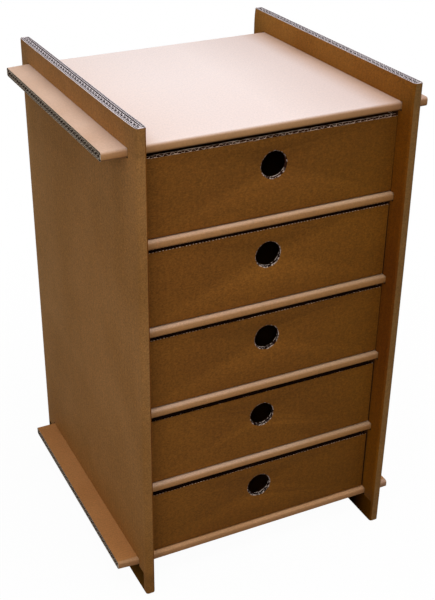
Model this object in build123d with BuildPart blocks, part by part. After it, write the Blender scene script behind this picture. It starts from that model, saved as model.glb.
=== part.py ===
from build123d import *
import os

os.makedirs("parts", exist_ok=True)

# Small drawer unit of corrugated cardboard: two side panels, a top and a bottom
# panel whose tabs pass through both sides, four shelves, a back panel and five
# folded drawers, each cut by hand to its bay. Millimetres, +Z up, front towards -Y, origin on the
# floor in the middle of the unit.

# Case
inner_width = 300.0       # between the inner faces of the two sides
foot_height = 30.0        # clear height under the bottom panel
side_rise = 26.0          # sides stand above the top panel
bay_heights = [90.0, 92.0, 92.0, 92.5, 93.5]   # clear heights, lowest bay first

# Board: each panel is one sheet of double-wall board folded flat into a sleeve
side_thickness = 11.0
panel_thickness = 10.0    # top panel, bottom panel and shelves
sleeve_slit = 0.6         # hair gap between the two leaves of a sleeve
fold_radius = 3.0         # outside radius of a folded edge
panel_depth = 302.0       # fold to fold of the top, bottom and shelves
front_setback = 22.5      # side front fold to panel front fold
rear_setback = 26.5       # panel rear fold to side rear fold
tab_length = 26.0         # top and bottom panels stand out past the sides

# Joints of the boards
slot_rise = 0.3           # play above a panel in its mortise or slot
slot_end_play = 1.5       # mortise and slot run past the panel at both ends
shelf_end_play = 0.3      # shelf end to the bottom of its blind slot

# Back panel, single-wall board
back_thickness = 4.0
back_top_drop = 4.0       # below the upper face of the top panel
back_side_play = 0.3

# Drawers, single-wall board, each folded from one blank
wall = 4.0
drawer_setback = 3.7      # shelf front fold to drawer front
drawer_side_play = 0.7
drawer_rear_play = 0.5    # closed drawer to the back panel
drawer_lift = 0.3         # running gap over the board below
rim_gaps = [6.5, 5.7, 4.5, 3.9, 5.7]   # drawer rim to the board above, lowest bay first
drawer_fold = 2.0         # outside radius of the folds round the floor
flap_length = 60.0        # glued corner flaps of the side walls
flap_drop = 1.0           # flaps end below the raw upper edge
hole_diameter = 30.0
hole_drop = 30.6          # raw upper edge down to the centre of the finger hole
hole_shifts = [-1.2, -0.8, 1.4, -0.7, 2.0]   # hole to the right of the middle, lowest first

# Derived places
case_depth = front_setback + panel_depth + rear_setback
front = -case_depth / 2
panel_front = front + front_setback
panel_rear = panel_front + panel_depth
panel_mid = (panel_front + panel_rear) / 2
side_leaf = (side_thickness - sleeve_slit) / 2
panel_leaf = (panel_thickness - sleeve_slit) / 2

# Upper faces of the bottom panel, the shelves and the top panel, lowest first
panel_tops = [foot_height + panel_thickness]
for bay in bay_heights:
    panel_tops.append(panel_tops[-1] + bay + panel_thickness)
shelf_tops = panel_tops[1:-1]
case_height = panel_tops[-1] + side_rise

through_length = inner_width + 2 * (side_thickness + tab_length)
shelf_length = inner_width + 2 * (side_leaf - shelf_end_play)

# Side panels
for name, sign in (("left_side_panel", -1), ("right_side_panel", 1)):
    inner_face = sign * inner_width / 2
    middle = inner_face + sign * side_thickness / 2
    with BuildPart() as side:
        with BuildSketch(Plane.XY) as sleeve:
            with Locations((middle, 0)):
                RectangleRounded(side_thickness, case_depth, fold_radius)
                Rectangle(sleeve_slit, case_depth - 2 * side_leaf, mode=Mode.SUBTRACT)
        extrude(amount=case_height)
        # Through mortises for the top and bottom panels
        for top in (panel_tops[0], panel_tops[-1]):
            with BuildSketch(Plane.XY.offset(top - panel_thickness)):
                with Locations((middle, panel_mid)):
                    Rectangle(2 * side_thickness, panel_depth + 2 * slot_end_play)
            extrude(amount=panel_thickness + slot_rise, mode=Mode.SUBTRACT)
        # Blind slots in the inner leaf for the shelves
        for top in shelf_tops:
            with BuildSketch(Plane.XY.offset(top - panel_thickness)):
                with Locations((inner_face, panel_mid)):
                    Rectangle(2 * side_leaf, panel_depth + 2 * slot_end_play)
            extrude(amount=panel_thickness + slot_rise, mode=Mode.SUBTRACT)
    side.part.label = name
    export_step(side.part, f"parts/{name}.step")

# Top panel, bottom panel and shelves
shelf_names = [f"shelf_{len(shelf_tops) - n}" for n in range(len(shelf_tops))]
names = ["bottom_panel"] + shelf_names + ["top_panel"]
lengths = [through_length] + [shelf_length] * len(shelf_tops) + [through_length]
for name, top, length in zip(names, panel_tops, lengths):
    with BuildPart() as panel:
        with BuildSketch(Plane.YZ) as sleeve:
            with Locations((panel_mid, top - panel_thickness / 2)):
                RectangleRounded(panel_depth, panel_thickness, fold_radius)
                Rectangle(panel_depth - 2 * panel_leaf, sleeve_slit, mode=Mode.SUBTRACT)
        extrude(amount=length / 2, both=True)
    panel.part.label = name
    export_step(panel.part, f"parts/{name}.step")

# Back panel, glued to the rear folds of the top, bottom and shelves
back_bottom = panel_tops[0] - panel_thickness
back_height = panel_tops[-1] - back_top_drop - back_bottom
with BuildPart() as back:
    with BuildSketch(Plane.XY.offset(back_bottom)):
        with Locations((0, panel_rear + back_thickness / 2)):
            Rectangle(inner_width - 2 * back_side_play, back_thickness)
    extrude(amount=back_height)
back.part.label = "back_panel"
export_step(back.part, "parts/back_panel.step")

# Drawers, numbered from the top
drawer_width = inner_width - 2 * drawer_side_play
drawer_front = panel_front + drawer_setback
drawer_depth = panel_rear - drawer_rear_play - drawer_front
drawer_mid = drawer_front + drawer_depth / 2
for k, top in enumerate(panel_tops[:-1]):
    drawer_height = bay_heights[k] - drawer_lift - rim_gaps[k]
    base = top + drawer_lift
    rim = base + drawer_height
    n = len(bay_heights) - k
    with BuildPart() as drawer:
        with BuildSketch(Plane.XY.offset(base)):
            with Locations((0, drawer_mid)):
                Rectangle(drawer_width, drawer_depth)
        extrude(amount=drawer_height)
        fillet(drawer.faces().sort_by(Axis.Z)[0].edges(), radius=drawer_fold)
        with BuildSketch(Plane.XY.offset(base + wall)):
            with Locations((0, drawer_mid)):
                Rectangle(drawer_width - 2 * wall, drawer_depth - 2 * wall)
        extrude(amount=drawer_height, mode=Mode.SUBTRACT)
        # Corner flaps of the side walls, glued behind the front and rear walls
        with BuildSketch(Plane.XY.offset(base + wall)):
            flap_x = drawer_width / 2 - wall - flap_length / 2
            flap_y = drawer_depth / 2 - wall - wall / 2
            with Locations((0, drawer_mid)):
                with GridLocations(2 * flap_x, 2 * flap_y, 2, 2):
                    Rectangle(flap_length, wall)
        extrude(amount=drawer_height - wall - flap_drop)
        # Finger hole
        with BuildSketch(Plane.XZ.offset(-drawer_front)):
            with Locations((hole_shifts[k], rim - hole_drop)):
                Circle(hole_diameter / 2)
        extrude(amount=-wall, mode=Mode.SUBTRACT)
    drawer.part.label = f"drawer_{n}"
    export_step(drawer.part, f"parts/drawer_{n}.step")
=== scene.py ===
"""A small drawer unit of corrugated cardboard: a case of folded sleeves and five folded drawers."""

import math

import bpy
from mathutils import Matrix, Vector


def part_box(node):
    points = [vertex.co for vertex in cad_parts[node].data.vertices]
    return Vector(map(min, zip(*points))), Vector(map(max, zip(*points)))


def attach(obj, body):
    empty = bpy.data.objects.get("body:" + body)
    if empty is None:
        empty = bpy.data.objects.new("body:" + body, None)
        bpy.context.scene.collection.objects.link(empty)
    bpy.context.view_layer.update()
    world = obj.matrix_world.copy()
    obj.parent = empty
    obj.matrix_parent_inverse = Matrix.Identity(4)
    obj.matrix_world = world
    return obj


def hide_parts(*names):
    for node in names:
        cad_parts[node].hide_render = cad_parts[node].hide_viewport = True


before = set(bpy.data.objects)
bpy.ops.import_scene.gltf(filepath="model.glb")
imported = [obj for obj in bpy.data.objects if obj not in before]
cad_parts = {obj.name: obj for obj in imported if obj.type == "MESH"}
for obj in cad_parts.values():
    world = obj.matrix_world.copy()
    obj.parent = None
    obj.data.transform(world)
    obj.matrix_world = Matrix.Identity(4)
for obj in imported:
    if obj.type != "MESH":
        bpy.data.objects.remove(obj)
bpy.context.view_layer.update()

bl_info = {
    "name": "Cardboard Drawer Unit",
    "version": (1, 0, 0),
    "blender": (4, 5, 0),
    "location": "View3D > Sidebar > Drawer Unit",
    "description": "Builds a small drawer unit of corrugated cardboard around its packed frame",
    "category": "Object",
}

MM = 0.001
QUARTER = math.pi / 2

# The places of a piece's finishes. INSIDE is the dark medium, which also stands as painted shade in
# cells and cuts. OTHER is a drawer's raw rim or a side's inward face, HIDDEN a side's dark bay paper,
# painted shade behind the drawer fronts, and a drawer's darker inner liner, SPECIAL a drawer's torn
# paper or the painted shade on the inside of a side's foot, and SHADED the painted shade on its outside.
LINER, CUT, INSIDE, OTHER, HIDDEN, SPECIAL, SHADED = range(7)

SIDES = ("left_side_panel", "right_side_panel")
THROUGH_PANELS = ("bottom_panel", "top_panel")
SHELVES = ("shelf_4", "shelf_3", "shelf_2", "shelf_1")
DRAWERS = ("drawer_5", "drawer_4", "drawer_3", "drawer_2", "drawer_1")


def paint(hexa):
    """An sRGB hex colour as linear RGBA."""
    parts = [int(hexa[i : i + 2], 16) / 255 for i in (1, 3, 5)]
    return [c / 12.92 if c <= 0.04045 else ((c + 0.055) / 1.055) ** 2.4 for c in parts] + [1.0]


def mid(node):
    """The middle of a CAD node's box."""
    low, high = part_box(node)
    return (Vector(low) + Vector(high)) / 2


def extent(node):
    """The three sizes of a CAD node's box."""
    low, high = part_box(node)
    return Vector(high) - Vector(low)


# Sizes and colours


def number(name, description, default, **kind):
    return bpy.props.FloatProperty(name=name, description=description, default=default, **kind)


def numbers(name, description, *defaults, **kind):
    return bpy.props.FloatVectorProperty(
        name=name, description=description, default=defaults, size=len(defaults), **kind
    )


def length(name, description, default):
    return number(name, description, default * MM, unit="LENGTH", precision=5)


def lengths(name, description, *defaults):
    return numbers(name, description, *(value * MM for value in defaults), unit="LENGTH")


class CaseBoardSizes(bpy.types.PropertyGroup):
    liner: length("Side liner", "Thickness of the flat papers of the side panels", 0.62)
    left_media: lengths(
        "Left side media", "The left side's fine, coarse and single-wall fluted papers", 0.65, 0.95, 0.4
    )
    right_media: lengths(
        "Right side media", "The right side's fine, coarse and single-wall fluted papers", 0.5, 0.75, 0.4
    )
    setback: length("Right setback", "From the left side's front fold back to the right one's", 3.5)
    panel_liner: length("Panel liner", "Thickness of the flat papers of the other panels", 0.36)
    panel_medium: length("Panel medium", "Thickness of the fluted papers of the other panels", 0.6)
    fine_pitch: length("Fine pitch", "Wave length of the fine flutes", 3.75)
    coarse_pitch: length("Coarse pitch", "Wave length of the coarse flutes", 7.5)
    slit: length("Slit", "Hair gap between the two leaves of a folded sleeve", 0.6)
    fold: length("Fold radius", "Outside radius of a sleeve's folded edges", 3.0)
    thick_leaf: number("Thick leaf", "Share of a sleeve's board that is in its double-wall leaf", 0.69)
    fine_flutes: number("Fine flutes", "Share of the double-wall leaf's flutes that is fine", 0.36)
    mortise_end: length("Mortise end play", "A slot runs past its panel at both ends", 1.5)
    mortise_rise: length("Mortise rise", "A slot's play above its panel", 0.3)
    shelf_end: length("Shelf end play", "From a shelf's end to the bottom of its slot", 0.3)
    splay: lengths("Splay", "The left and the right side's slit opens by this much at the top", 1.1, 0.6)
    pinch: numbers("Pinch", "Share of its width that the left and the right side lose at the top", 0, 0.12)
    left_flare: lengths(
        "Left flare", "The front edge stands out by this much at the foot, middle and top", -0.3, -0.8, -1.2
    )
    right_flare: lengths(
        "Right flare", "The front edge stands out by this much at the foot, middle and top", 0, 1.5, -0.4
    )
    swell: lengths("Swell", "The left and the right side's front fold is thicker by this much", 0, 1.0)
    left_cut: lengths("Left cut", "The left side is this much low at its front and rear", 0, 2.1)
    right_cut: lengths("Right cut", "The right side is this much low at its front and rear", 1.7, 1.7)
    foot_cut: lengths("Foot cut", "The left and the right foot are cut this much high at the front", 3.4, 0)
    top_tabs: lengths("Top tabs", "The top panel's left and right tab are this much short", 0, 3.6)
    droop: length("Droop", "The top panel's left tab hangs down by this much", 1.0)
    bottom_tabs: lengths("Bottom tabs", "The bottom panel's left and right tab are this much short", 1.2, 2.6)
    fray: length("Fray", "Unevenness of the raw ends", 0.12)


class DrawerBoardSizes(bpy.types.PropertyGroup):
    """A size that each drawer has for itself is given for the lowest drawer first."""

    wall: length("Wall", "Thickness of the single-wall board", 4.0)
    liner: length("Liner", "Thickness of its flat papers", 0.55)
    medium: length("Medium", "Thickness of its fluted paper", 0.55)
    pitch: length("Flute pitch", "Wave length of its flutes", 7.5)
    fold: length("Fold radius", "Outside radius of the folds round the floor", 3.4)
    front_plays: lengths(
        "Front plays", "A front is this much narrower at each end than its drawer",
        1.2, 0.5, -0.5, 0.2, -0.2,
    )
    flap: length("Flap length", "Glued corner flaps of the side walls", 60.0)
    flap_drop: length("Flap drop", "The flaps end below the raw upper edge", 1.0)
    hole: length("Finger hole", "Diameter of the finger hole", 30.0)
    hole_drop: length("Hole drop", "Raw upper edge down to the middle of the finger hole", 30.6)
    hole_shifts: lengths("Hole shifts", "Finger holes to the right of the middle", -1.2, -0.8, 1.4, -0.7, 2.0)
    fray: length("Fray", "Unevenness of the knife cuts", 0.35)
    tear: lengths("Tear", "The hole in the inner liner lies off the outer one's by this much", 0.6, 0, 0.3)
    rim_drops: lengths("Rim drops", "A front's upper edge is worn down by this much", 0.6, 0.6, 0.5, 0.1, 0)
    slants: numbers(
        "Slants", "Forward slope of the knife cut along a front's upper edge",
        *(math.radians(angle) for angle in (5, 5, 5, 5, 27)), unit="ROTATION",
    )


# Each paper: its name, what it is, its colour and the colour of its darker parts.
PAPER_COLOURS = {
    "side": ("Side liner", "Outer paper of the left side panel", "#BC854B", "#B07A40"),
    "right_side": ("Right side liner", "Outer paper of the right side panel", "#956C3B", "#8B6334"),
    "inner": ("Inner liner", "Inward paper of the two side panels", "#A16D2E", "#946023"),
    # bay and foot are painted shade: dark papers on the sides' faces in deep shade behind the drawer fronts
    # and below the bottom panel.
    "bay": ("Bay liner", "Inward paper of the sides behind the drawer fronts", "#4A2C12", "#42260E"),
    "foot": ("Foot liner", "Inward paper of the sides below the bottom panel", "#6E4004", "#643A04"),
    # tab, shelf and bottom and their folds are lit and shaded copies of one liner: the faces that look up are
    # painted paler, painted light from above.
    "tab": ("Top panel liner", "Upper faces of the top panel's tabs and edges", "#D6B9A6", "#CDAD97"),
    # top is the painted highlight in the middle of the top panel.
    "top": ("Top, middle", "The bleached middle of the top panel", "#F2E2DE"),
    "top_fold": ("Top panel fold", "Upright folds and underside of the top panel", "#D09B66"),
    "shelf": ("Shelf liner", "Upper faces of the shelves", "#D9B497", "#D0A888"),
    "shelf_fold": ("Shelf fold", "Upright folds and undersides of the shelves", "#C98F57"),
    # The bottom panel's papers are painted darker than the shelves', painted shade.
    "bottom": ("Bottom liner", "Upper face of the bottom panel, shaded and worn", "#C48952", "#BA7F49"),
    "bottom_fold": ("Bottom fold", "Upright folds of the bottom panel", "#B5743D"),
    "drawer": ("Drawer liner", "Outer paper of the drawers", "#965F22", "#8F5920"),
    "tray": ("Tray liner", "Inner paper of the drawers, of a darker pulp", "#76490F", "#6D420E"),
    # The media's dark colours are painted shade in the cells; tab_medium and fresh_medium are paler copies of
    # them, painted light.
    "medium": ("Medium", "Papers inside the board", "#302420", "#20160E"),
    "tab_medium": ("Tab medium", "Papers inside the tabs' board", "#452F24", "#332218"),
    "drawer_medium": ("Drawer medium", "Papers inside the lower drawers' board", "#351A10", "#1C0D08"),
    "fresh_medium": ("Top drawer medium", "Papers inside the top drawer's board", "#6A3A26", "#3A1E12"),
    "cut": ("Cut paper", "Raw cut ends of the papers", "#E3D8DB", "#94838A"),
    # tab_cut is paler and warmer than cut, painted light on the tabs' shaded raw ends.
    "tab_cut": ("Tab cut paper", "Raw cut ends of the tabs, browned by handling", "#F9E5CD", "#9C8770"),
    "crushed": ("Crushed rim", "Worn upper edges of the lower drawers", "#F0CDB4", "#7A4E22"),
    # fresh is a fresh cut painted paler still, painted light on the top drawer's rim in the top panel's
    # shade.
    "fresh": ("Fresh rim", "Freshly cut upper edge of the top drawer", "#FFE0C6", "#A87860"),
    "torn": ("Torn paper", "Tufts and dark cells round the finger holes", "#D3BFB2", "#1E0B06"),
}


class BoardColours(bpy.types.PropertyGroup):
    __annotations__ = {
        key + end: numbers(name + mark, what, *paint(hexa), subtype="COLOR", min=0, max=1)
        for key, (name, what, *hexas) in PAPER_COLOURS.items()
        for hexa, end, mark in zip(hexas, ("", "_dark"), ("", ", dark"))
    }


class StageSizes(bpy.types.PropertyGroup):
    sky_power: number("Overhead lamp", "Power of the large soft lamp overhead", 45.0, unit="POWER")
    side_power: number("Side lamp", "Power of the soft lamp at the front left", 9.5, unit="POWER")
    air: number("Ambient", "Strength of the grey surroundings", 0.2, min=0)
    floor_glow: number("Floor glow", "How white the floor stays in the unit's shadow", 0.97, min=0, max=1)
    lens: number("Lens", "Focal length of the camera in millimetres", 65.516)
    shift: number("Shift", "Sideways camera shift that frames the unit", 0.080008)
    place: numbers("Camera place", "Where the camera stands", -0.519963, -1.057141, 0.923540, unit="LENGTH")
    azimuth: number("Azimuth", "Turn of the camera round the unit", math.radians(-23.974783), unit="ROTATION")
    elevation: number("Elevation", "Camera angle above the horizon", math.radians(28.959594), unit="ROTATION")
    roll: number("Roll", "Camera turn about its own view", math.radians(-0.580662), unit="ROTATION")


# Modelling by hand

# Two places that are closer than this are the same.
NEAR = 0.01 * MM


def hold(obj=None):
    """Object mode, with only this piece selected, or nothing."""
    if bpy.context.object and bpy.context.object.mode != "OBJECT":
        bpy.ops.object.mode_set(mode="OBJECT")
    bpy.ops.object.select_all(action="DESELECT")
    if obj:
        obj.select_set(True)
        bpy.context.view_layer.objects.active = obj


def pick(obj, kind, test):
    """Edit mode, with the vertices, edges or faces selected whose middle and direction pass the test."""
    hold(obj)
    bpy.ops.object.mode_set(mode="EDIT")
    bpy.ops.mesh.select_mode(type=kind)
    bpy.ops.mesh.select_all(action="DESELECT")
    bpy.ops.object.mode_set(mode="OBJECT")
    mesh = obj.data
    if kind == "VERT":
        for v in mesh.vertices:
            v.select = test(v.co)
    elif kind == "EDGE":
        for e in mesh.edges:
            a, b = (mesh.vertices[i].co for i in e.vertices)
            e.select = test((a + b) / 2, (b - a).normalized())
    else:
        for f in mesh.polygons:
            f.select = test(f.center, f.normal)
    bpy.ops.object.mode_set(mode="EDIT")


def at(axis, place):
    """A test of vertices: those at a place along an axis."""
    index = "XYZ".index(axis)
    return lambda co: abs(co[index] - place) < NEAR


def edit_all(obj):
    """Edit mode with the whole piece selected."""
    hold(obj)
    bpy.ops.object.mode_set(mode="EDIT")
    bpy.ops.mesh.select_all(action="SELECT")


def shift(obj, by):
    edit_all(obj)
    bpy.ops.transform.translate(value=by)
    hold(obj)


def turn(obj, axis, angle=QUARTER, about=(0, 0, 0)):
    edit_all(obj)
    bpy.ops.transform.rotate(value=angle, orient_axis=axis, center_override=about)
    hold(obj)


def bisect_at(obj, axis, *places):
    """Cuts an edge loop round the whole piece at each place along an axis."""
    along = Vector([float(axis == letter) for letter in "XYZ"])
    edit_all(obj)
    for place in places:
        bpy.ops.mesh.select_all(action="SELECT")
        bpy.ops.mesh.bisect(plane_co=place * along, plane_no=along)
    hold(obj)


def block(name, low, high):
    """A cube primitive at its size and place, with its place in its mesh."""
    low, high = Vector(low), Vector(high)
    hold()
    bpy.ops.mesh.primitive_cube_add(size=1, location=(low + high) / 2)
    obj = bpy.context.object
    obj.name = name
    obj.scale = high - low
    bpy.ops.object.transform_apply(location=True, rotation=True, scale=True)
    return obj


def finish_with(obj, kind, **settings):
    """Adds a modifier and applies it."""
    hold(obj)
    modifier = obj.modifiers.new(kind.title(), kind)
    for key, value in settings.items():
        setattr(modifier, key, value)
    bpy.ops.object.modifier_apply(modifier=modifier.name)


def copy(obj, name):
    """A copy with its own mesh."""
    hold(obj)
    bpy.ops.object.duplicate(linked=False)
    made = bpy.context.object
    made.name = name
    return made


def join(name, parts):
    hold(parts[0])
    for part in parts:
        part.select_set(True)
    bpy.ops.object.join()
    obj = bpy.context.object
    obj.name = name
    return obj


def lay(obj, finishes, index, test=lambda c, n: True):
    """Gives a part its finishes and lays one of them on the faces that pass the test."""
    if not obj.data.materials:
        for finish in finishes:
            obj.data.materials.append(finish)
    pick(obj, "FACE", test)
    obj.active_material_index = index
    bpy.ops.object.material_slot_assign()
    hold(obj)


def folded_paper(name, low, high, paper, opened, folded, radius, finishes, shows=0, shown=LINER):
    """A sheet folded round a block: the opened faces are left out, the folded edges are rounded,
    and the paper's thickness goes inwards. shows is 1 where its outward side shows, -1 where its
    inward side does, and 0 where it is hidden in the board; shown is that side's finish."""
    obj = block(name, low, high)
    pick(obj, "FACE", opened)
    bpy.ops.mesh.delete(type="FACE")
    pick(obj, "EDGE", folded)
    bpy.ops.mesh.bevel(offset=radius, segments=4, affect="EDGES")
    finish_with(obj, "SOLIDIFY", thickness=paper, offset=-1, use_even_offset=True)
    lay(obj, finishes, INSIDE)
    if shows:
        middle = (Vector(low) + Vector(high)) / 2
        lay(obj, finishes, shown, lambda c, n: shows * n.dot(c - middle) > 0)
    return obj


def fluted_paper(pitch, height, paper, width, tall, finishes, lean=0.0):
    """A fluted sheet standing in YZ: one wave is shaped from a grid, then repeated along Y. lean
    makes the cells on one side wide and those on the other narrow."""
    columns = 8
    # The sine is cut off, which makes the waves a little square.
    steep = 1.3
    hold()
    bpy.ops.mesh.primitive_grid_add(
        x_subdivisions=columns, y_subdivisions=1, size=1, rotation=(QUARTER, 0, QUARTER)
    )
    obj = bpy.context.object
    obj.name = "flutes"
    obj.scale = (pitch, tall, 1)
    bpy.ops.object.transform_apply(location=True, rotation=True, scale=True)
    swing = (height - paper) / 2 - 0.02 * MM
    for k in range(columns + 1):
        across = swing * max(-1, min(1, steep * (math.sin(math.tau * k / columns) + lean)))
        if abs(across) > 1e-9:
            pick(obj, "VERT", lambda co: abs(co.y + pitch / 2 - k * pitch / columns) < 1e-5)
            bpy.ops.transform.translate(value=(across, 0, 0))
    count = int(width / pitch)
    finish_with(
        obj, "ARRAY", count=count, use_relative_offset=False, use_constant_offset=True,
        constant_offset_displace=(0, pitch, 0), use_merge_vertices=True, merge_threshold=1e-6,
    )
    shift(obj, (0, -(count - 1) * pitch / 2, 0))
    finish_with(obj, "SOLIDIFY", thickness=paper, offset=0)
    lay(obj, finishes, INSIDE)
    return obj


def board(name, thickness, width, tall, papers, finishes, shown=LINER):
    """Single-wall board standing in YZ: two liners and the fluted paper between them."""
    half = Vector((thickness, width, tall)) / 2
    gap = thickness - 2 * papers.liner
    parts = [fluted_paper(papers.pitch, gap, papers.medium, width, tall, finishes)]
    for side in (-1, 1):
        x = sorted((side * half.x, side * (half.x - papers.liner)))
        liner = block("liner", (x[0], -half.y, -half.z), (x[1], half.y, half.z))
        lay(liner, finishes, INSIDE)
        lay(liner, finishes, shown, lambda c, n: side * n.x > 0.9)
        parts.append(liner)
    return join(name, parts)


def sleeve(name, thickness, depth, tall, thick, liner, media, single_pitch, leans, papers, finishes):
    """Board folded flat round Z into a sleeve. The leaf on the side that thick says, 1 or -1, is
    double-wall, with fine flutes outside and coarse ones inside; the other leaf is single-wall.
    media are the fine, coarse and single fluted papers, and leans the coarse and single waves' lean."""
    half = Vector((thickness, depth, tall)) / 2
    walls = thickness - papers.slit
    wide = walls * papers.thick_leaf
    fine = (wide - 3 * liner) * papers.fine_flutes
    coarse = wide - 3 * liner - fine
    single = walls - wide - 2 * liner
    flat = half.y - papers.fold

    def inset(a, b):
        """Two distances from the double-wall leaf's outer face as places along X, lowest first."""
        return sorted((thick * (half.x - a), thick * (half.x - b)))

    def shuts(c, d):
        return abs(d.z) > 0.9

    outer = folded_paper("outer", -half, half, liner, shuts, shuts, papers.fold, finishes, 1)
    x = inset(wide - liner, thickness - walls + wide + liner)
    y = half.y - walls / 2 + liner
    lining = folded_paper(
        "lining", (x[0], -y, -half.z), (x[1], y, half.z), liner, shuts, shuts, 0.6 * MM, finishes
    )
    parts = [outer, lining]
    x = inset(liner + fine, 2 * liner + fine)
    parts.append(block("between", (x[0], -flat, -half.z), (x[1], flat, half.z)))
    # The flutes are crushed flat in the folds.
    x = inset(papers.fold - liner, thickness - papers.fold + liner)
    for y in (half.y - papers.fold, half.y - liner), (liner - half.y, papers.fold - half.y):
        parts.append(block("crushed", (x[0], y[0], -half.z), (x[1], y[1], half.z)))
    for part in parts[2:]:
        lay(part, finishes, INSIDE)
    for pitch, height, medium, start, lean in (
        (papers.fine_pitch, fine, media[0], liner, 0),
        (papers.coarse_pitch, coarse, media[1], 2 * liner + fine, thick * leans[0]),
        (single_pitch, single, media[2], thickness - liner - single, thick * leans[1]),
    ):
        sheet = fluted_paper(pitch, height, medium, 2 * flat, tall, finishes, lean)
        shift(sheet, (thick * (half.x - start - height / 2), 0, 0))
        parts.append(sheet)
    made = join(name, parts)
    lay(made, finishes, CUT, lambda c, n: abs(n.z) > 0.9 and abs(c.z) > half.z - NEAR)
    return made


def cut_away(obj, boxes, finishes):
    """Cuts blocks out of a piece and leaves dark walls, painted shade in the cuts."""
    cutter = join("cutter", [block("cutter", low, high) for low, high in boxes])
    lay(cutter, finishes, INSIDE)
    finish_with(obj, "BOOLEAN", operation="DIFFERENCE", object=cutter, solver="EXACT")
    bpy.data.objects.remove(cutter)


def pull_front(obj, low, high, reach, out, swell):
    """A lattice over the front edge pulls it sideways: out is the way at the foot, half height and top,
    and swell is how much further the face on that side goes."""
    levels = 5
    hold()
    middle = (low.y + reach + low.y) / 2
    bpy.ops.object.add(type="LATTICE", location=((low.x + high.x) / 2, middle, (low.z + high.z) / 2))
    cage = bpy.context.object
    cage.scale = (high.x - low.x, reach, high.z - low.z)
    cage.data.points_u, cage.data.points_v, cage.data.points_w = 2, 4, levels
    for point in cage.data.points:
        t = point.co.z + 0.5
        near = (0.5 - point.co.y) ** 2
        way = out[0] * (1 - t) * (1 - 2 * t) + out[1] * 4 * t * (1 - t) + out[2] * t * (2 * t - 1)
        if point.co.x * swell > 0:
            way += swell
        point.co_deform.x += near * way / (high.x - low.x)
    bpy.context.view_layer.update()
    finish_with(obj, "LATTICE", object=cage)
    bpy.data.objects.remove(cage)


def dress(obj, body, node):
    """Smooth shading, and the piece's body and the node that it stands for."""
    hold(obj)
    bpy.ops.object.shade_smooth_by_angle(angle=math.radians(35))
    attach(obj, body)
    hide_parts(node)


# Materials


def add(material, kind, inputs=None, stops=None, **settings):
    """Adds a node with its settings; an input is a value or another node's output."""
    tree = material.node_tree
    made = tree.nodes.new(kind)
    for key, value in settings.items():
        setattr(made, key, value)
    for key, value in (inputs or {}).items():
        if isinstance(value, bpy.types.NodeSocket):
            tree.links.new(value, made.inputs[key])
        else:
            made.inputs[key].default_value = value
    if stops:
        ramp = made.color_ramp
        ramp.elements[0].position, ramp.elements[0].color = stops[0]
        ramp.elements[1].position, ramp.elements[1].color = stops[-1]
        for position, shade in stops[1:-1]:
            ramp.elements.new(position).color = shade
    return made


def grey(value):
    return (value, value, value, 1)


def board_colour(name):
    return list(getattr(bpy.context.scene.board_colours, name))


def new_material(name):
    material = bpy.data.materials.new(name)
    material.use_nodes = True
    material.node_tree.nodes.clear()
    return material


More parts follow.
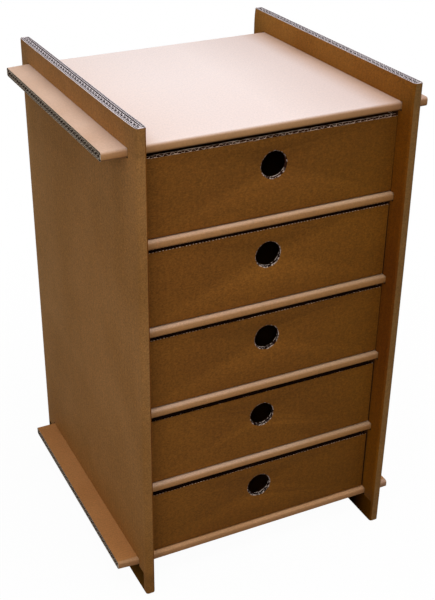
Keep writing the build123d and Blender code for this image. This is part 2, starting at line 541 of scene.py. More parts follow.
def liner_finish(
    name, board, across, pitch, grain=1.0, fold=None, painted_highlight=None, painted_shading=(), under=1.0, gloss=0.15
):
    """Kraft liner: unbleached paper, calendered on the board machine. The eye gets a matt, warm
    brown with slow clouds, a fine mottle, short fibres that lie mostly across the flutes, and faint
    stripes where the glued flutes show through. board names its colours, and across is the axis that
    the flutes repeat along. fold names the deeper colour of the faces that don't look up; with the
    paler colour of those that look up it is painted light from above. bleached holds two places along X
    and two along Y between which the pale middle of the top comes up, a painted highlight, and faded
    holds the painted shade and painted light: axes, each with two places and the tint that the paper
    has at the second one. under is how much of its brightness a fold keeps where it turns down, a
    painted shade, and gloss is the paper's specular level."""
    m = new_material(name)
    coordinate = add(m, "ShaderNodeTexCoord").outputs
    place = coordinate["Object"]
    parts = add(m, "ShaderNodeSeparateXYZ", {0: place}).outputs
    # Clouds of about 90 mm, a formation mottle of 7 mm blotches that turn a little red or green and
    # of 2 mm ones, and fibres, which are 1 to 3 mm long and drawn about 0.8 mm wide, so that they show.
    stretch = [380.0 if axis == across else 900.0 for axis in "XYZ"]
    strands = add(m, "ShaderNodeMapping", {"Vector": place, "Scale": stretch}).outputs[0]
    reddish = (1 - 0.03 * grain, 1 - 0.022 * grain, 1 - 0.01 * grain, 1)
    yellowish = (1 + 0.025 * grain, 1 + 0.015 * grain, 1, 1)
    unevenness = []
    for vector, scale, detail, rough, stops in (
        (place, 11.0, 3.0, 0.55, [(0.35, board_colour(board + "_dark")), (0.65, board_colour(board))]),
        (place, 140.0, 2.0, 0.6, [(0.3, reddish), (0.7, yellowish)]),
        (place, 480.0, 2.0, 0.6, [(0.3, grey(1 - 0.085 * grain)), (0.7, grey(1 + 0.085 * grain))]),
        (
            strands, 1.0, 3.0, 0.7,
            [(0.3, grey(1 - 0.14 * grain)), (0.5, grey(1)), (0.72, grey(1 + 0.1 * grain))],
        ),
    ):
        noise = add(
            m, "ShaderNodeTexNoise", {"Vector": vector, "Scale": scale, "Detail": detail, "Roughness": rough}
        ).outputs["Fac"]
        unevenness.append(add(m, "ShaderNodeValToRGB", {"Fac": noise}, stops=stops).outputs["Color"])
    fibres = noise
    # What lies over the clouds: how it blends, how much of it there is and its colour.
    body, *others = unevenness
    layers = []
    if painted_highlight:
        # The painted highlight, a pale middle, is centred 4 mm left of the unit's middle.
        along = add(m, "ShaderNodeMath", {0: parts["X"], 1: 4 * MM}, operation="ADD").outputs[0]
        away = add(m, "ShaderNodeMath", {0: along}, operation="ABSOLUTE").outputs[0]
        pale = [
            add(
                m, "ShaderNodeMapRange", {"Value": value, "From Min": start, "From Max": end},
                interpolation_type="SMOOTHSTEP",
            ).outputs[0]
            for value, (start, end) in zip((away, parts["Y"]), painted_highlight)
        ]
        middle = add(m, "ShaderNodeMath", {0: pale[0], 1: pale[1]}, operation="MULTIPLY").outputs[0]
        layers.append(("MIX", middle, board_colour("top")))
    # Painted shade and painted light: tints make the paper darker and paler along axes.
    changes = [(parts[axis], start, end, "MULTIPLY", (*tint, 1)) for axis, start, end, tint in painted_shading]
    if fold:
        # Painted light from above: where the paper looks up it is paler, round the fold it keeps the fold's
        # deeper colour, and where it turns down it gets a painted shade.
        up = add(m, "ShaderNodeSeparateXYZ", {0: coordinate["Normal"]}).outputs["Z"]
        changes = [
            (up, 0.9, -0.1, "MIX", board_colour(fold)), (up, -0.25, -0.8, "MULTIPLY", grey(under)), *changes
        ]
    for value, start, end, mode, shade in changes:
        share = add(m, "ShaderNodeMapRange", {"Value": value, "From Min": start, "From Max": end}).outputs[0]
        layers.append((mode, share, shade))
    # Stripes of the flutes, one pitch apart.
    angle = add(m, "ShaderNodeMath", {0: parts[across], 1: math.tau / pitch}, operation="MULTIPLY")
    stripe = add(m, "ShaderNodeMath", {0: angle.outputs[0]}, operation="SINE").outputs[0]
    shade = add(
        m, "ShaderNodeMapRange",
        {"Value": stripe, "From Min": -1.0, "From Max": 1.0, "To Min": 0.975, "To Max": 1.015},
    ).outputs[0]
    layers += [("MULTIPLY", 1.0, over) for over in (*others, shade)]
    for mode, share, over in layers:
        body = add(
            m, "ShaderNodeMix", {0: share, 6: body, 7: over}, data_type="RGBA", blend_type=mode
        ).outputs[2]
    # The stripes stand 0.03 mm proud and the fibres about as much.
    height = add(m, "ShaderNodeMath", {0: stripe, 1: 0.3, 2: fibres}, operation="MULTIPLY_ADD").outputs[0]
    bump = add(m, "ShaderNodeBump", {"Strength": 0.5, "Distance": 0.00012, "Height": height}).outputs[0]
    rough = add(m, "ShaderNodeMapRange", {"Value": fibres, "To Min": 0.7, "To Max": 0.9}).outputs[0]
    shader = add(
        m, "ShaderNodeBsdfPrincipled",
        {"Base Color": body, "Roughness": rough, "Specular IOR Level": gloss, "Normal": bump},
    )
    add(m, "ShaderNodeOutputMaterial", {"Surface": shader.outputs[0]})
    return m


def paper_inside(name, board, low, high, fleck, pitch=None):
    """Uncoated paper with torn fibres, made once for all its pieces: its dark takes over where the
    noise is below low, its pale where it is above high. fleck is the number of fibre bundles in a
    metre. With a pitch, the paper is pale only where the flutes hold it up."""
    if name in bpy.data.materials:
        return bpy.data.materials[name]
    m = new_material(name)
    place = add(m, "ShaderNodeTexCoord").outputs["Object"]
    fuzz = add(m, "ShaderNodeTexNoise", {"Vector": place, "Scale": fleck, "Detail": 2.0}).outputs["Fac"]
    if pitch:
        across = add(m, "ShaderNodeSeparateXYZ", {0: place}).outputs["X"]
        angle = add(m, "ShaderNodeMath", {0: across, 1: math.tau / pitch}, operation="MULTIPLY").outputs[0]
        wave = add(m, "ShaderNodeMath", {0: angle}, operation="SINE").outputs[0]
        fuzz = add(m, "ShaderNodeMath", {0: wave, 1: 0.25, 2: fuzz}, operation="MULTIPLY_ADD").outputs[0]
    body = add(
        m, "ShaderNodeValToRGB", {"Fac": fuzz},
        stops=[(low, board_colour(board + "_dark")), (high, board_colour(board))],
    ).outputs["Color"]
    bump = add(m, "ShaderNodeBump", {"Strength": 0.6, "Distance": 0.0002, "Height": fuzz}).outputs[0]
    shader = add(
        m, "ShaderNodeBsdfPrincipled",
        {"Base Color": body, "Roughness": 0.95, "Specular IOR Level": 0.1, "Normal": bump},
    )
    add(m, "ShaderNodeOutputMaterial", {"Surface": shader.outputs[0]})
    return m


def cut_paper():
    """Raw ends of liners and flutes, torn by the knife: a pale, greyish, fibrous line with darker
    flecks of about 0.8 mm."""
    return paper_inside("cut_paper", "cut", 0.3, 0.5, 1300.0)


def tab_cut_paper():
    """Raw ends of the tabs, warmer than the other cut paper and painted paler, painted light on their shaded
    ends: pale dots with flecks of about 0.8 mm.
    """
    return paper_inside("tab_cut_paper", "tab_cut", 0.3, 0.5, 1300.0)


def crushed_cut_paper():
    """Cut paper whose flutes are crushed shut: brown with a ragged pale dash at each crest."""
    crests = bpy.context.scene.drawer_board.pitch / 2
    return paper_inside("crushed_cut_paper", "crushed", 0.5, 0.6, 560.0, crests)


def fresh_cut_paper():
    """Freshly cut kraft: a warm pale line, hardly flecked, and painted paler still as painted light on the
    top drawer's shaded rim.
    """
    return paper_inside("fresh_cut_paper", "fresh", 0.2, 0.35, 900.0)


def torn_paper():
    """Torn board round a finger hole: dark reddish cells with pale tufts of about 2 mm."""
    return paper_inside("torn_board", "torn", 0.48, 0.55, 450.0)


def fluting_medium(where=""):
    """Fluting medium: soft recycled paper, pressed into waves. The eye gets nearly black cells, which
    is painted shade in the paper's colour; warm dark brown behind the tabs' ends and red-brown in the
    top drawer are paler copies, painted light, and the drawers' cells are reddish."""
    return paper_inside(where + "fluting_medium", where + "medium", 0.2, 0.9, 700.0)


# Pieces and their operators

# Millimetres below its raw upper end where a side's leaves part, and the share of the splay there.
OPENING = ((0, 0.5), (8, 0.22), (14, 0.07), (20, 0.0))
# Millimetres behind a side's front fold where it bends; the last is where the bend starts.
FRONT_BENDS = (8, 18, 32, 50, 75)


def side_finishes(papers):
    """The finishes of the left and of the right side. The inward liner carries painted shade under the
    top panel, under the top bay and at the foot, and painted light from the floor lower down, and is
    darker towards the front. The outward liners carry painted shade towards the floor, at the foot,
    above the tab and round the front fold, and are paler towards the rear."""
    pitch, front, top = papers.coarse_pitch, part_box(SIDES[0])[0][1], mid("top_panel").z
    inward = liner_finish(
        "kraft_liner_sides_inside", "inner", "Y", pitch, 2.0,
        painted_shading=(
            ("Z", top + 8 * MM, top - 8 * MM, (0.98, 0.86, 0.25)),  # under the top panel
            ("Y", 0.1, -0.17, (0.7, 0.57, 0.24)),  # to the front
            ("Z", 0.5, 0.36, (0.82, 0.75, 0.62)),  # under the top bay
            ("Z", 0.22, 0.08, (1.2, 1.42, 1.1)),  # to the floor, which lights it
            ("Z", 0.055, 0.03, (0.66, 0.68, 0.6)),  # the foot
        ),
    )
    bay = liner_finish("kraft_liner_bays_painted_shade", "bay", "Y", pitch)
    outward = [
        liner_finish(
            f"kraft_liner_{name}", board, "Y", pitch, 2.0,
            painted_shading=(
                ("Z", 0.22, 0.04, low_tint),  # to the floor
                ("Z", 0.034, 0.028, (foot_tint,) * 3),  # the foot
                ("Y", -0.02, 0.17, (1, 1.06, 1.16)),  # to the rear
                ("Z", top, top + 4 * MM, (0.85,) * 3),  # above the tab
                ("Y", front + papers.fold, front + 1 * MM, (0.88,) * 3),  # round the front fold
            ),
        )
        for name, board, low_tint, foot_tint in (
            ("left_side", "side", (0.81, 0.75, 0.59), 0.83),
            ("right_side", "right_side", (1.02, 0.98, 1), 1),
        )
    ]
    # Painted deep shade: the boards below the bottom panel are painted dark, but for their front edges.
    foot_inside = liner_finish(
        "kraft_liner_foot_inside_painted_shade", "foot", "Y", pitch, gloss=0,
        painted_shading=[("Y", front + 8 * MM, front + 43 * MM, (0.06,) * 3)],
    )
    foot_outside = liner_finish(
        "kraft_liner_foot_outside_painted_shade", "side", "Y", pitch, gloss=0,
        painted_shading=(("Z", 0.1, 0.09, (0.4, 0.37, 0.22)), ("Z", 0.004, 0.03, (0.42, 0.4, 0.3))),
    )
    return [
        [liner, cut_paper(), fluting_medium(), inward, bay, foot_inside, foot]
        for liner, foot in zip(outward, (foot_outside, outward[1]))
    ]


def cut_slots(side, low, high, inward, papers, finishes):
    """Cuts a side's through mortises and its blind slots for the shelves."""
    past = (low.x + high.x) / 2 + inward * (high.x - low.x)
    boxes = []
    for panel in THROUGH_PANELS + SHELVES:
        start, end = (Vector(v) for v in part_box(panel))
        start.y -= papers.mortise_end
        end.y += papers.mortise_end
        end.z += papers.mortise_rise
        if panel in SHELVES:
            deep = (end.x if inward < 0 else start.x) - inward * papers.shelf_end
            start.x, end.x = sorted((deep, past))
        boxes.append((start, end))
    cut_away(side, boxes, finishes)


def lay_side(side, low, high, inward, finishes):
    """Cuts the edges that the finishes and the bends of a side need, and lays its other finishes."""
    outer, inner = (low.x, high.x)[::inward]
    underside, bay_floor = (end[2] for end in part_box("bottom_panel"))
    bay_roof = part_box("top_panel")[0][2]
    eighths = [low.z + k * (high.z - low.z) / 8 for k in range(1, 8)]
    bends = [high.z - drop * MM for drop, share in OPENING[1:]]
    bisect_at(side, "Z", *bends, underside - 0.2 * MM, *eighths)
    # Painted shade: behind the drawer fronts the inward faces get the dark bay paper.
    fronts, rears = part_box(DRAWERS[0])[0][1] + 0.5 * MM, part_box("back_panel")[0][1]
    bisect_at(side, "Y", *(low.y + behind * MM for behind in FRONT_BENDS), fronts, rears)

    def in_bay(c, d):
        flat = inward * d.x > 0.9 and abs(c.x - inner) < NEAR
        return flat and fronts < c.y < rears and bay_floor < c.z < bay_roof

    def foot_inside(c, d):
        return inward * d.x > 0.9 and abs(c.x - inner) < MM and c.z < underside

    def foot_outside(c, d):
        flat = inward * d.x < -0.9 and abs(c.x - outer) < MM
        return flat and c.z < underside and c.y > low.y + FRONT_BENDS[0] * MM

    # Painted shade: the bays and the inward and outward faces of the foot get their dark papers.
    for index, test in ((HIDDEN, in_bay), (SPECIAL, foot_inside), (SHADED, foot_outside)):
        lay(side, finishes, index, test)


def open_top(side, n, low, high, inward, papers):
    """The two leaves of a side part at its raw upper end, and the right side is pinched there."""
    outer = (low.x, high.x)[::inward][0]
    slit = high.x - (high.x - low.x - papers.slit) * (1 - papers.thick_leaf) - papers.slit / 2
    for drop, share in OPENING[:-1]:
        level = high.z - drop * MM
        # The folds hold the two leaves together, and at the front they part in two steps.
        for near in (7, 17):
            for leaf in (-1, 1):
                pick(
                    side, "VERT",
                    lambda co: abs(co.z - level) < NEAR and leaf * (co.x - slit) > 0.1 * MM
                    and low.y + near * MM < co.y < high.y - 7 * MM,
                )
                bpy.ops.transform.translate(value=(leaf * papers.splay[n] * share / 2, 0, 0))
        if papers.pinch[n]:
            pick(side, "VERT", at("Z", level))
            narrower = 1 - 2 * share * papers.pinch[n]
            bpy.ops.transform.resize(value=(narrower, 1, 1), center_override=(outer, 0, 0))


def trim_ends(side, n, low, high, papers):
    """Frays a side's raw ends. The upper one was cut by hand and slopes to the rear, and the foot to
    the front."""
    for level in (high.z, low.z):
        pick(side, "VERT", at("Z", level))
        bpy.ops.transform.vertex_random(offset=papers.fray, seed=n + 1)
        bpy.ops.transform.resize(value=(1, 1, 0), center_override=(0, 0, level))
    at_front, at_rear = (papers.left_cut, papers.right_cut)[n]
    for level, hinge, rise, drop in (
        (high.z, low.y, at_rear - at_front, at_front), (low.z, high.y, papers.foot_cut[n], 0)
    ):
        pick(side, "VERT", at("Z", level))
        slope = math.atan2(rise, high.y - low.y)
        bpy.ops.transform.rotate(value=slope, orient_axis="X", center_override=(0, hinge, level))
        bpy.ops.transform.translate(value=(0, 0, -drop))


class DRAWERUNIT_OT_side_panels(bpy.types.Operator):
    """Folds the two side sleeves, cuts their mortises and slots and splays their upper ends"""

    bl_idname = "drawer_unit.side_panels"
    bl_label = "Side Panels"

    def execute(self, context):
        papers = context.scene.case_board
        for n, (node, finishes) in enumerate(zip(SIDES, side_finishes(papers))):
            low, high = (Vector(v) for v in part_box(node))
            low.y += n * papers.setback
            size, inward = high - low, (1, -1)[n]
            # Both double-wall leaves lie on the left, because both sheets were folded the same way.
            media = (papers.left_media, papers.right_media)[n]
            side = sleeve(
                f"{node}_board", size.x, size.y, size.z, -1, papers.liner, media, papers.fine_pitch,
                (-0.45, 0.25), papers, finishes,
            )

            def faces_drawers(c, d):
                near = inward * d.x > 0.25 and inward * c.x > size.x / 2 - 0.7 * papers.fold
                flat = inward * c.x > size.x / 2 - NEAR
                return near and (flat or abs(c.y) > size.y / 2 - papers.fold)

            lay(side, finishes, OTHER, faces_drawers)
            shift(side, (low + high) / 2)
            cut_slots(side, low, high, inward, papers, finishes)
            lay_side(side, low, high, inward, finishes)
            open_top(side, n, low, high, inward, papers)
            # The front edge stands out or in a little, as the shelves don't reach it.
            out = [-inward * way for way in (papers.left_flare, papers.right_flare)[n]]
            pull_front(side, low, high, FRONT_BENDS[-1] * MM, out, -inward * papers.swell[n])
            trim_ends(side, n, low, high, papers)
            dress(side, "case", node)
        return {"FINISHED"}


def lay_sleeves(nodes, papers, finishes):
    """Sleeves laid flat, their flutes along X and their double-wall leaves on top: the first node's,
    copied to the others."""
    first, *others = nodes
    size, centre = extent(first), mid(first)
    panel = sleeve(
        f"{first}_board", size.z, size.y, size.x, 1, papers.panel_liner, [papers.panel_medium] * 3,
        papers.coarse_pitch, (0.5, 0.4), papers, finishes,
    )
    turn(panel, "Y")
    shift(panel, centre)
    low, high = centre - size / 2, centre + size / 2
    for x in (low.x, high.x):
        pick(panel, "VERT", at("X", x))
        bpy.ops.transform.vertex_random(offset=papers.fray, seed=7)
        bpy.ops.transform.resize(value=(0, 1, 1), center_override=(x, 0, 0))
    hold(panel)
    made = {first: panel}
    for node in others:
        made[node] = copy(panel, f"{node}_board")
        shift(made[node], mid(node) - centre)
    return made


class DRAWERUNIT_OT_through_panels(bpy.types.Operator):
    """Folds the bottom and the top panel, whose tabs pass through both sides"""

    bl_idname = "drawer_unit.through_panels"
    bl_label = "Top and Bottom Panels"

    def execute(self, context):
        papers = context.scene.case_board
        first, second = THROUGH_PANELS
        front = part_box(second)[0][1]
        # Painted light from the floor: the front fold and the right tab are paler.
        bottom = [
            liner_finish(
                "kraft_liner_bottom", "bottom", "Y", papers.fine_pitch, fold="bottom_fold",
                painted_shading=(
                    ("Y", front + 6 * MM, front + 3 * MM, (1.15, 1.45, 2.2)),
                    ("X", 0.155, 0.165, (1, 1.1, 1.5)),
                ),
            ),
            tab_cut_paper(),
            fluting_medium("tab_"),
        ]
        made = lay_sleeves(THROUGH_PANELS, papers, bottom)
        # Painted light on the top panel: a pale painted highlight in its middle, and painted shade towards
        # the walls and the front.
        made[second].data.materials[LINER] = liner_finish(
            "kraft_liner_top", "tab", "Y", papers.fine_pitch, grain=0.5, fold="top_fold", under=0.5,
            painted_highlight=((0.153, 0.115), (front - 0.5 * MM, front + 2.5 * MM)),
            painted_shading=(
                ("X", 0.02, 0.15, (0.8, 0.75, 0.73)),
                ("X", -0.05, -0.15, (1, 0.97, 0.94)),
                ("Y", 0.02, -0.12, (0.95, 0.93, 0.92)),
            ),
        )
        for node, short, droop in ((first, papers.bottom_tabs, 0), (second, papers.top_tabs, papers.droop)):
            panel, half = made[node], extent(node).x / 2
            bisect_at(panel, "X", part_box(SIDES[0])[0][0])
            for side, less, down in zip((-1, 1), short, (droop, 0)):
                pick(panel, "VERT", at("X", side * half))
                bpy.ops.transform.translate(value=(-side * less, 0, -down))
            # Handling has pushed the left tab's front corner back.
            end, corner = short[0] - half, front + papers.fold + 0.5 * MM
            pick(panel, "VERT", lambda co: abs(co.x - end) < NEAR and co.y < corner)
            bpy.ops.transform.translate(value=(0.3 * MM, 2 * MM if node == first else MM, 0.3 * MM))
            dress(panel, "case", node)
        return {"FINISHED"}


class DRAWERUNIT_OT_shelves(bpy.types.Operator):
    """Folds a shelf and copies it to the four bays"""

    bl_idname = "drawer_unit.shelves"
    bl_label = "Shelves"

    def execute(self, context):
        papers = context.scene.case_board
        # Painted shade: the shelves are darker to the right.
        finishes = [
            liner_finish(
                "kraft_liner_shelves", "shelf", "Y", papers.fine_pitch, fold="shelf_fold", under=0.7,
                painted_shading=[("X", -0.06, 0.15, (0.8, 0.78, 0.68))],
            ),
            cut_paper(),
            fluting_medium(),
        ]
        for node, shelf in lay_sleeves(SHELVES, papers, finishes).items():
            dress(shelf, "case", node)
        return {"FINISHED"}


class DRAWERUNIT_OT_back_panel(bpy.types.Operator):
    """Makes the single-wall back panel"""

    bl_idname = "drawer_unit.back_panel"
    bl_label = "Back Panel"

    def execute(self, context):
        papers = context.scene.drawer_board
        size = extent("back_panel")
        finishes = [
            liner_finish("kraft_liner_back", "side", "X", papers.pitch), cut_paper(), fluting_medium()
        ]
        back = board("back_panel_board", size.y, size.x, size.z, papers, finishes)

        def raw(c, n):
            at_end = abs(c.z) > size.z / 2 - 0.1 * MM or abs(c.y) > size.x / 2 - 0.1 * MM
            return abs(n.x) < 0.5 and at_end

        lay(back, finishes, CUT, raw)
        turn(back, "Z")
        shift(back, mid("back_panel"))
        dress(back, "case", "back_panel")
        return {"FINISHED"}


def finger_cutter(place, seed, papers, finishes):
    """The knife's way through a front. It flares through the outer liner and leaves the inner one
    torn and narrower, so that both show as ragged rings. place is the hole's middle in the front."""
    hold()
    bpy.ops.mesh.primitive_cylinder_add(
        vertices=34, radius=papers.hole / 2 - 0.3 * MM, depth=6 * MM, location=place + Vector((0, 2 * MM, 0)),
        rotation=(QUARTER, 0, 0),
    )
    cutter = bpy.context.object
    bpy.ops.object.transform_apply(location=True, rotation=True, scale=True)
    deep = (-1 * MM, papers.liner, papers.wall - papers.liner, papers.wall + 0.1 * MM, 5 * MM)
    bisect_at(cutter, "Y", *(place.y + y for y in deep[1:-1]))
    for y, wider in zip(deep, (2.4, 0.0, 0.0, -0.3, -0.3)):
        pick(cutter, "VERT", at("Y", place.y + y))
        share = 1 + wider * MM * 2 / papers.hole
        bpy.ops.transform.resize(value=(share, 1, share), center_override=place)
        if y > papers.liner + 0.1 * MM:
            bpy.ops.transform.translate(value=papers.tear)
    edit_all(cutter)
    bpy.ops.transform.vertex_random(offset=papers.fray, seed=seed)
    hold(cutter)
    # Painted light and shade: only the lower half, which looks up, is torn pale; above, the crushed cells
    # keep the dark medium as painted shade.
    lay(cutter, finishes, INSIDE)
    pale = place.z - 0.15 * papers.hole / 2
    lay(cutter, finishes, SPECIAL, lambda c, n: c.z < pale or c.y < place.y + 0.3 * MM)
    return cutter


def upright_wall(low, high, papers, finishes):
    """A front wall: the outer liner turns under the floor, and the flutes stand up."""
    size = high - low
    inner = papers.wall - papers.liner
    outer = folded_paper(
        "outer", low, (high.x, low.y + papers.wall, high.z), papers.liner,
        lambda c, d: d.z > 0.9 or abs(d.x) > 0.9 or d.y > 0.9,
        lambda c, d: abs(d.x) > 0.9 and c.z < high.z - size.z / 2 and c.y < low.y + MM,
        papers.fold, finishes, 1,
    )
    above_fold = low.z + papers.liner + 0.05 * MM
    lining = block("lining", (low.x, low.y + inner, above_fold), (high.x, low.y + papers.wall, high.z))
    lay(lining, finishes, INSIDE)
    lay(lining, finishes, HIDDEN, lambda c, d: d.y > 0.9)
    tall = size.z - papers.liner - 1.2 * MM
    sheet = fluted_paper(papers.pitch, papers.wall - 2 * papers.liner, papers.medium, size.x, tall, finishes)
    turn(sheet, "Z")
    shift(sheet, (0, low.y + papers.wall / 2, high.z - tall / 2))
    return join("wall", [outer, lining, sheet])


def saw_rim(wall, front, rim, slant, worn, seed, papers):
    """The raw upper edge of a front: cut at a slant, worn down, wavy and frayed."""
    bisect_at(wall, "Z", rim - 2 * MM, rim - 0.7 * MM)
    inner = papers.wall - papers.liner
    pick(
        wall, "EDGE",
        lambda c, d: abs(c.z - rim) < NEAR and abs(d.x) > 0.99
        and not papers.liner + NEAR < c.y - front < inner - NEAR,
    )
    bpy.ops.mesh.subdivide(number_cuts=59)
    pick(wall, "VERT", at("Z", rim))
    middle = (0, front + papers.wall / 2, rim)
    bpy.ops.transform.rotate(value=-slant, orient_axis="X", center_override=middle)
    bpy.ops.transform.resize(value=(1, 1 / math.cos(slant), 1), center_override=middle)
    bpy.ops.transform.vertex_random(offset=papers.fray, seed=seed)
    bpy.ops.transform.translate(value=(0, 0, -worn))
    hold(wall)


def drawer_tray(node, hole, slant, worn, front_play, crushed, seed, papers, finishes):
    """One drawer, folded to its own height, with its own finger hole. Where the front's rim is
    crushed, only its outer liner still shows pale, and the rest of the rim keeps the dark medium as
    painted shade below the shelf above."""
    low, high = (Vector(v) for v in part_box(node))
    size, centre = high - low, (low + high) / 2
    wall, paper = papers.wall, papers.liner
    inner = wall - paper

    # Floor and side walls: an outer and an inner liner in one U each, flutes along Y.
    def opened(c, d):
        return d.z > 0.9 or abs(d.y) > 0.9

    def folded(c, d):
        return abs(d.y) > 0.9 and c.z < centre.z

    tray_low = Vector((low.x, low.y + wall, low.z))
    tray_high = Vector((high.x, high.y - wall, high.z))
    step = Vector((inner, 0, 0))
    parts = [
        folded_paper("outer", tray_low, tray_high, paper, opened, folded, papers.fold, finishes, 1),
        folded_paper(
            "inner", tray_low + step + Vector((0, 0, inner)), tray_high - step,
            paper, opened, folded, 0.8 * MM, finishes, -1, HIDDEN,
        ),
    ]
    tall = size.z - wall - 0.1 * MM
    flutes = fluted_paper(papers.pitch, wall - 2 * paper, papers.medium, tall, size.y - 2 * wall, finishes)
    turn(flutes, "X")
    for side in (-1, 1):
        sheet = copy(flutes, "side_flutes")
        shift(sheet, (side * (size.x / 2 - wall / 2), centre.y, high.z - tall / 2))
        parts.append(sheet)
    bpy.data.objects.remove(flutes)

    play = Vector((front_play, 0, 0))
    front = upright_wall(low + play, high - play, papers, finishes)
    rear = copy(front, "rear")
    turn(rear, "Z", math.pi, (0, centre.y, 0))
    cutter = finger_cutter(hole, seed, papers, finishes)
    finish_with(front, "BOOLEAN", operation="DIFFERENCE", object=cutter, solver="EXACT")
    bpy.data.objects.remove(cutter)
    saw_rim(front, low.y, high.z, slant, worn, seed, papers)
    parts += [front, rear]

    # Corner flaps of the side walls, glued behind the front and rear walls, flutes along X.
    tall = size.z - wall - papers.flap_drop
    flap = board("flap", wall, tall, papers.flap, papers, finishes, HIDDEN)
    turn(flap, "Z")
    turn(flap, "Y")
    reach = Vector((size.x / 2 - wall - papers.flap / 2, size.y / 2 - 1.5 * wall, 0))
    for x in (-1, 1):
        for y in (-1, 1):
            corner = copy(flap, "flap")
            shift(corner, (x * reach.x, centre.y + y * reach.y, low.z + wall + tall / 2))
            parts.append(corner)
    bpy.data.objects.remove(flap)
    drawer = join(f"{node}_board", parts)
    lay(
        drawer, finishes, OTHER,
        lambda c, d: d.z > 0.6 and c.z > high.z - 2 * papers.flap_drop
        and not (crushed and low.y + paper + 0.15 * MM < c.y < low.y + wall),
    )
    if crushed:
        # The worn liner is torn pale just below its edge.
        pale = high.z - worn - 0.7 * MM
        lay(drawer, finishes, OTHER, lambda c, d: d.y < -0.9 and c.y < low.y + paper / 2 and c.z > pale)
    # Painted shade: the fold under the front gets the dark medium.
    lay(drawer, finishes, INSIDE, lambda c, d: d.z < -0.7 and c.y < low.y + papers.fold)
    return drawer


class DRAWERUNIT_OT_drawers(bpy.types.Operator):
    """Folds the five drawers, each to its bay, and cuts their finger holes"""

    bl_idname = "drawer_unit.drawers"
    bl_label = "Drawers"

    def execute(self, context):
        papers = context.scene.drawer_board
        # Painted shade and painted light: the fronts are darker to the right and further down, and one band
        # of them is painted paler.
        liner = liner_finish(
            "kraft_liner_drawers", "drawer", "X", papers.pitch, 2.0,
            painted_shading=(
                ("X", -0.08, 0.07, (0.85, 0.84, 0.7)),
                ("X", 0.05, 0.15, (0.94, 0.92, 0.6)),
                ("Z", 0.15, 0.06, (0.86, 0.84, 0.75)),
                ("Z", 0.33, 0.36, (1.07,) * 3),
                ("Z", 0.42, 0.5, (0.84,) * 3),
            ),
        )
        tray = liner_finish("kraft_liner_trays", "tray", "X", papers.pitch)
        for n, node in enumerate(DRAWERS):
            # The top drawer's edge is fresh; the others are crushed by use. The top drawer's rim and medium
            # are also painted paler, painted light in the top panel's shade.
            crushed = node != DRAWERS[-1]
            rim = crushed_cut_paper() if crushed else fresh_cut_paper()
            medium = fluting_medium("drawer_" if crushed else "fresh_")
            finishes = [liner, cut_paper(), medium, rim, tray, torn_paper()]
            low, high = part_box(node)
            hole = Vector((papers.hole_shifts[n], low[1], high[2] - papers.hole_drop))
            drawer = drawer_tray(
                node, hole, papers.slants[n], papers.rim_drops[n], papers.front_plays[n], crushed, n + 4,
                papers, finishes,
            )
            dress(drawer, node, node)
        return {"FINISHED"}


def seen_directly(material):
    """1 for what the camera sees itself or in a gloss or a glass, and 0 for the light thrown back."""
    path = add(material, "ShaderNodeLightPath").outputs
    either = add(
        material, "ShaderNodeMath", {0: path["Is Camera Ray"], 1: path["Is Glossy Ray"]}, operation="MAXIMUM"
    ).outputs[0]
    return add(
        material, "ShaderNodeMath", {0: either, 1: path["Is Transmission Ray"]}, operation="MAXIMUM"
    ).outputs[0]


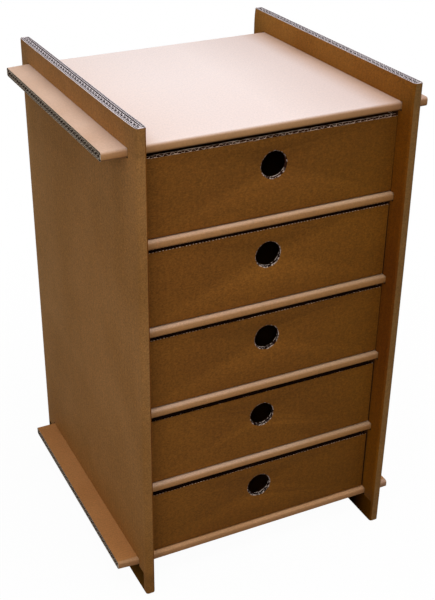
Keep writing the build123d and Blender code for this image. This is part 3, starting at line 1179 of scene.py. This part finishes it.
class DRAWERUNIT_OT_stage(bpy.types.Operator):
    """Sets the floor, the lamps, the surroundings and the camera"""

    bl_idname = "drawer_unit.stage"
    bl_label = "Stage"

    def execute(self, context):
        stage = context.scene.stage_sizes
        hold()
        bpy.ops.mesh.primitive_plane_add(size=30)
        floor = bpy.context.object
        floor.name = "floor"
        # Studio floor: to the eye a lit white sweep that keeps the unit's soft shadow and fades to
        # pure white, but grey to the light that it throws back, so that the fronts keep their depth.
        m = new_material("studio_floor_paper")
        seen = seen_directly(m)
        place = add(m, "ShaderNodeTexCoord").outputs["Object"]
        away = add(m, "ShaderNodeVectorMath", {0: place}, operation="LENGTH").outputs["Value"]
        fade = add(
            m, "ShaderNodeMapRange",
            {"Value": away, "From Min": 0.3, "From Max": 0.8, "To Min": stage.floor_glow, "To Max": 1.0},
        ).outputs[0]
        glow = add(m, "ShaderNodeMath", {0: seen, 1: fade}, operation="MULTIPLY").outputs[0]
        shade = add(m, "ShaderNodeMapRange", {"Value": seen, "To Min": 0.18, "To Max": 0.95}).outputs[0]
        paper = add(m, "ShaderNodeBsdfDiffuse", {"Color": shade})
        light = add(m, "ShaderNodeEmission", {"Color": grey(1), "Strength": 1.0})
        both = add(m, "ShaderNodeMixShader", {0: glow, 1: paper.outputs[0], 2: light.outputs[0]})
        add(m, "ShaderNodeOutputMaterial", {"Surface": both.outputs[0]})
        floor.data.materials.append(m)

        world = bpy.data.worlds.new("studio_air")
        context.scene.world = world
        world.use_nodes = True
        world.node_tree.nodes.clear()
        shade = add(
            world, "ShaderNodeMapRange", {"Value": seen_directly(world), "To Min": stage.air, "To Max": 1.0}
        ).outputs[0]
        air = add(world, "ShaderNodeBackground", {"Color": shade, "Strength": 1.0})
        add(world, "ShaderNodeOutputWorld", {"Surface": air.outputs[0]})

        for name, place, aim, size, power in (
            ("overhead_lamp", (0.1, -0.4, 2.5), (0, 0, 0.35), 2.4, stage.sky_power),
            ("side_lamp", (-1.35, -1.65, 1.2), (0, 0, 0.35), 1.6, stage.side_power),
        ):
            hold()
            way = (Vector(aim) - Vector(place)).to_track_quat("-Z", "Y").to_euler()
            bpy.ops.object.light_add(type="AREA", radius=size, location=place, rotation=way)
            lamp = bpy.context.object
            lamp.name = name
            lamp.data.shape = "DISK"
            lamp.data.size = size
            lamp.data.energy = power
            lamp.visible_camera = False

        hold()
        bpy.ops.object.camera_add(location=stage.place)
        camera = bpy.context.object
        camera.name = "camera"
        round_z = Matrix.Rotation(stage.azimuth, 3, "Z")
        tilt = Matrix.Rotation(QUARTER - stage.elevation, 3, "X")
        spin = Matrix.Rotation(stage.roll, 3, "Z")
        camera.rotation_euler = (round_z @ tilt @ spin).to_euler()
        camera.data.lens = stage.lens
        camera.data.sensor_width = 36
        camera.data.shift_x = stage.shift
        camera.data.clip_start = 0.01
        context.scene.camera = camera
        context.scene.view_settings.view_transform = "Standard"
        return {"FINISHED"}


class DRAWERUNIT_PT_panel(bpy.types.Panel):
    bl_idname = "DRAWERUNIT_PT_panel"
    bl_label = "Drawer Unit"
    bl_space_type = "VIEW_3D"
    bl_region_type = "UI"
    bl_category = "Drawer Unit"

    def draw(self, context):
        for name in GROUPS:
            box = self.layout.box()
            group = getattr(context.scene, name)
            for key in group.__annotations__:
                box.prop(group, key)
        for operator in OPERATORS:
            self.layout.operator(operator.bl_idname)


GROUPS = {
    "case_board": CaseBoardSizes,
    "drawer_board": DrawerBoardSizes,
    "board_colours": BoardColours,
    "stage_sizes": StageSizes,
}
OPERATORS = (
    DRAWERUNIT_OT_side_panels,
    DRAWERUNIT_OT_through_panels,
    DRAWERUNIT_OT_shelves,
    DRAWERUNIT_OT_back_panel,
    DRAWERUNIT_OT_drawers,
    DRAWERUNIT_OT_stage,
)
CLASSES = (*GROUPS.values(), *OPERATORS, DRAWERUNIT_PT_panel)


def register():
    for cls in CLASSES:
        bpy.utils.register_class(cls)
    for name, group in GROUPS.items():
        setattr(bpy.types.Scene, name, bpy.props.PointerProperty(type=group))


def unregister():
    for name in GROUPS:
        delattr(bpy.types.Scene, name)
    for cls in reversed(CLASSES):
        bpy.utils.unregister_class(cls)


def main():
    register()
    bpy.ops.drawer_unit.side_panels()
    bpy.ops.drawer_unit.through_panels()
    bpy.ops.drawer_unit.shelves()
    bpy.ops.drawer_unit.back_panel()
    bpy.ops.drawer_unit.drawers()
    bpy.ops.drawer_unit.stage()
    hold()


if __name__ == "__main__":
    main()
